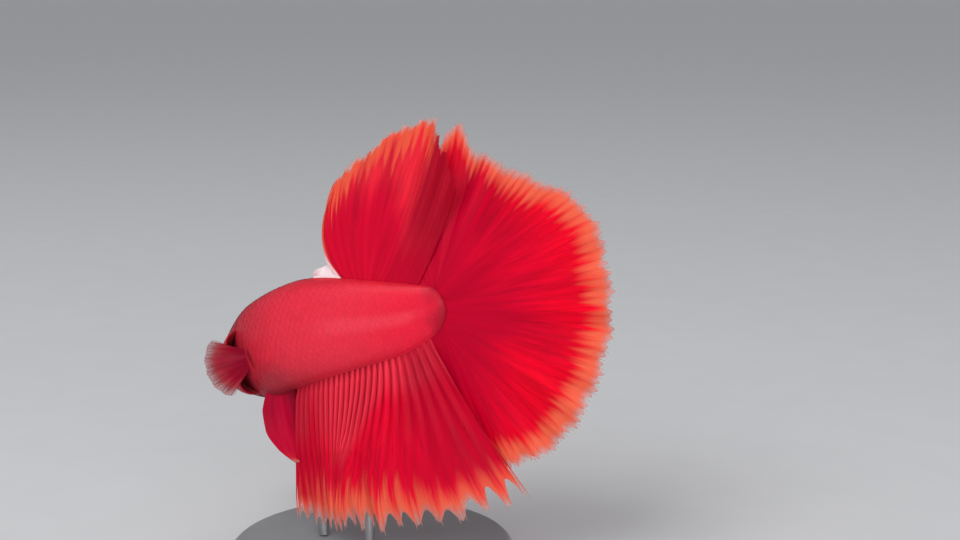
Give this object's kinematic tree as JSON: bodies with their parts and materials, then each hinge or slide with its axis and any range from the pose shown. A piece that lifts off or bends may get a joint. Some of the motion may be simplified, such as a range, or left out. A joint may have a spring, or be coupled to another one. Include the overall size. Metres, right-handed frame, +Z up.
{
  "type": "betta fish",
  "caption": "Long-finned betta fish turning away with every fin spread wide, a life-size still model held over a round base by thin rods.",
  "frame": {"origin": "centre of the round base's underside", "axes": "+Z up; the body's tail end lies towards +X and its head towards -X and +Y, so the fish's left side faces -Y"},
  "size_m": [0.0594, 0.042, 0.0676],
  "materials": {
    "skin": "moist scaled skin, satin with a soft sheen",
    "fin": "thin pleated membrane, satin, clear at its fringe",
    "eye": "wet and glossy",
    "stand_base": "matte grey",
    "stand_rod": "satin"
  },
  "bodies": {
    "root": {"head": "skin", "lower_jaw": "skin", "gill_cover_left": "skin", "gill_cover_right": "skin", "trunk": "skin", "tail_stalk": "skin", "dorsal_fin": "fin", "anal_fin": "fin", "tail_fin": "fin", "pectoral_fin_left": "fin", "pectoral_fin_right": "fin", "pelvic_fin_left": "fin", "pelvic_fin_right": "fin", "eye_left": "eye", "eye_right": "eye", "stand_base": "stand_base", "stand_rod_front": "stand_rod", "stand_rod_rear": "stand_rod"}
  },
  "joints": []
}
